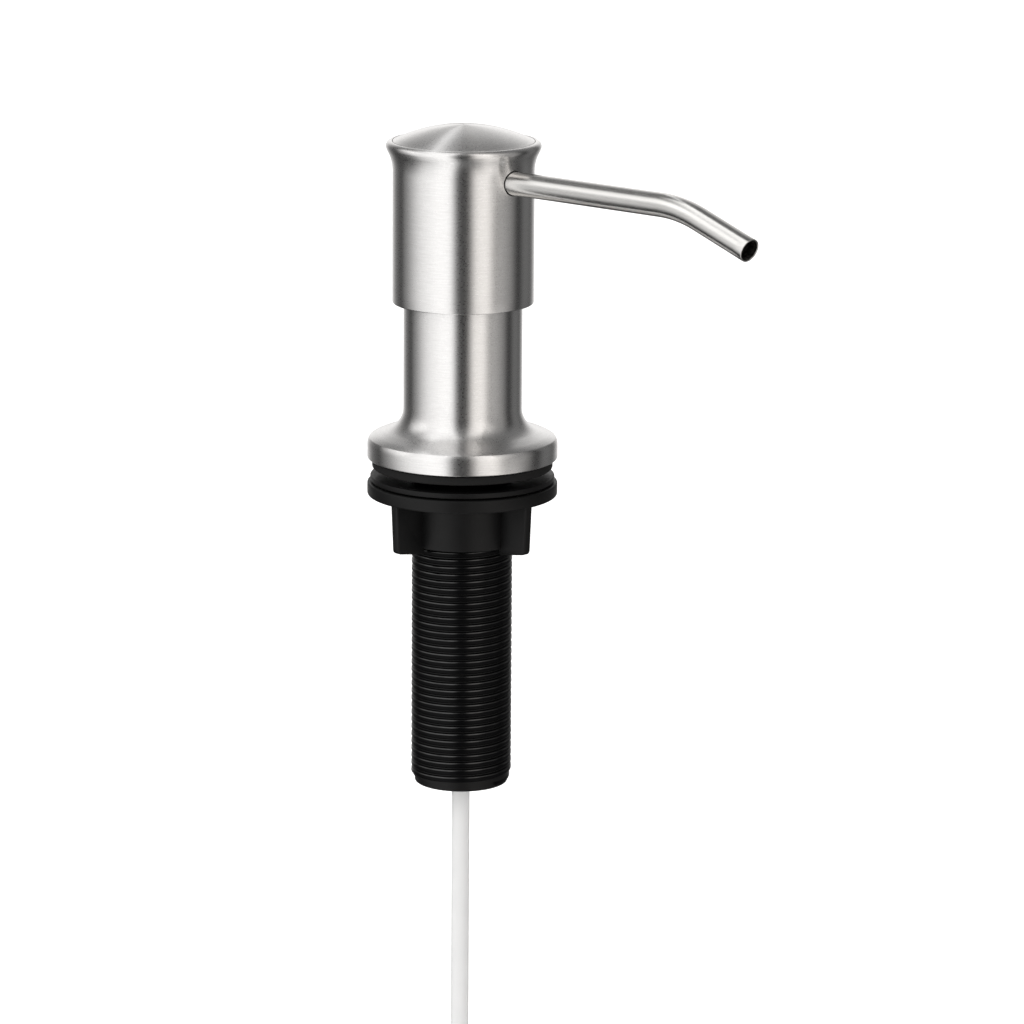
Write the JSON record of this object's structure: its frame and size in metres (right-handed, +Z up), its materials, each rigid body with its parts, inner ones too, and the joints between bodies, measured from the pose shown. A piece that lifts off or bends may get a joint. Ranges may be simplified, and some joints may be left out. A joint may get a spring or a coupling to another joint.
{
  "type": "soap pump dispenser",
  "caption": "Deck-mounted soap pump: domed press head with a bent swivelling spout on a flanged collar, threaded shank with washer and wing nut, spring pump, suction tube and foot valve.",
  "frame": {"origin": "centre of the deck hole, on top of the sink deck, where the underside of the gasket rests", "axes": "+Z up along the shank, out of the deck; +X along the spout"},
  "size_m": [0.131, 0.0508, 0.3822],
  "materials": {
    "brushed_metal": "fine brushed stainless steel, warm grey",
    "black_plastic": "satin black moulded plastic",
    "black_rubber": "matt black rubber",
    "white_plastic": "natural white moulded plastic",
    "clear_tube": "milky translucent tube",
    "spring_wire": "drawn stainless wire",
    "ball_steel": "polished stainless ball"
  },
  "bodies": {
    "deck_set": {"deck_collar": "brushed_metal", "deck_gasket": "black_rubber", "threaded_shank": "black_plastic", "pump_closure": "black_plastic", "closure_gasket": "black_rubber", "pump_housing": "white_plastic", "ball_cage": "white_plastic", "return_spring": "spring_wire", "suction_tube": "clear_tube", "tube_hank": "clear_tube", "tube_tie": "white_plastic", "suction_tube_tail": "clear_tube", "foot_valve_cap": "black_plastic", "foot_valve_body": "black_plastic", "foot_strainer": "white_plastic"},
    "plunger": {"pump_stem": "white_plastic", "piston": "white_plastic", "piston_seal": "black_rubber"},
    "head": {"head_shell": "brushed_metal", "dome_cap": "brushed_metal", "head_insert": "black_plastic", "spout_tube": "brushed_metal", "spout_seal": "black_rubber"},
    "washer": {"clamp_washer": "black_plastic"},
    "nut": {"wing_nut": "black_plastic"},
    "inlet_valve": {"inlet_ball": "ball_steel"},
    "outlet_valve": {"outlet_ball": "ball_steel"},
    "foot_valve": {"foot_valve_ball": "ball_steel"}
  },
  "joints": [
    {"name": "press", "type": "slide", "parent": "deck_set", "child": "plunger", "axis": [0, 0, -1], "range_m": [0, 0.013], "stiffness_N_per_m": 600, "springref_m": -0.012, "deforming": ["return_spring"]},
    {"name": "spout_swivel", "type": "hinge", "parent": "plunger", "child": "head", "pos_m": [0, 0, 0.078], "axis": [0, 0, 1], "continuous": true},
    {"name": "nut_travel", "type": "slide", "parent": "deck_set", "child": "washer", "axis": [0, 0, 1], "range_m": [-0.06, 0.0017]},
    {"name": "nut_spin", "type": "hinge", "parent": "washer", "child": "nut", "pos_m": [0, 0, -0.0118], "axis": [0, 0, 1], "range_deg": [-10810, 310]},
    {"name": "inlet_lift", "type": "slide", "parent": "deck_set", "child": "inlet_valve", "axis": [0, 0, 1], "range_m": [0, 0.0011]},
    {"name": "outlet_lift", "type": "slide", "parent": "plunger", "child": "outlet_valve", "axis": [0, 0, 1], "range_m": [0, 0.0015]},
    {"name": "foot_lift", "type": "slide", "parent": "deck_set", "child": "foot_valve", "axis": [0, 0, 1], "range_m": [0, 0.001]}
  ],
  "couplings": [
    {"joint": "nut_spin", "follows": "nut_travel", "rad_per_m": 3141.6}
  ]
}
